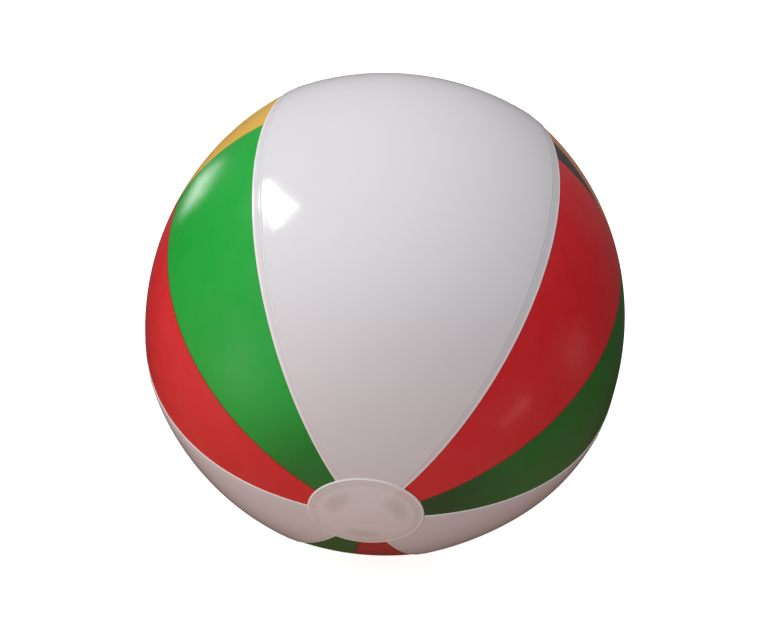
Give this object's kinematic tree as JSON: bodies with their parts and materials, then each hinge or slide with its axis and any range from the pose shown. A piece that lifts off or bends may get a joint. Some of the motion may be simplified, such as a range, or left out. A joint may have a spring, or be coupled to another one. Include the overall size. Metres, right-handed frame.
{
  "type": "inflatable beach ball",
  "caption": "Inflatable beach ball of welded vinyl panels, white ones between two-tone printed ones, with an end disc at each pole and a push-in air valve with a hinged plug.",
  "frame": {"origin": "centre of the inflated ball", "axes": "+Y along the pole axis towards the valve, -Y to the plain end disc, +Z through the middle of one white panel, +X completing a right-handed frame"},
  "size_m": [0.28, 0.2867, 0.2797],
  "materials": {
    "white_vinyl": "gloss",
    "printed_vinyl": "gloss",
    "frosted_vinyl": "satin",
    "valve_vinyl": "satin"
  },
  "bodies": {
    "ball": {"white_panel_1": "white_vinyl", "white_panel_2": "white_vinyl", "white_panel_3": "white_vinyl", "printed_panel_1": "printed_vinyl", "printed_panel_2": "printed_vinyl", "printed_panel_3": "printed_vinyl", "plain_end_disc": "frosted_vinyl", "valve_end_disc": "frosted_vinyl", "valve_flange": "valve_vinyl", "valve_skirt": "valve_vinyl"},
    "stem": {"valve_stem": "valve_vinyl", "plug_strap": "valve_vinyl"},
    "plug": {"valve_plug": "valve_vinyl"},
    "flap": {"check_flap": "valve_vinyl"}
  },
  "joints": [
    {"name": "valve_slide", "type": "slide", "parent": "ball", "child": "stem", "axis": [0, 1, 0], "range_m": [0, 0.016], "deforming": ["valve_skirt"]},
    {"name": "plug_swing", "type": "hinge", "parent": "stem", "child": "plug", "pos_m": [0, 0.14323, -0.0072], "axis": [-1, 0, 0], "range_deg": [0, 150], "deforming": ["plug_strap"]},
    {"name": "flap_swing", "type": "hinge", "parent": "stem", "child": "flap", "pos_m": [0, 0.12583, 0.0044], "axis": [-1, 0, 0], "range_deg": [0, 55]}
  ]
}
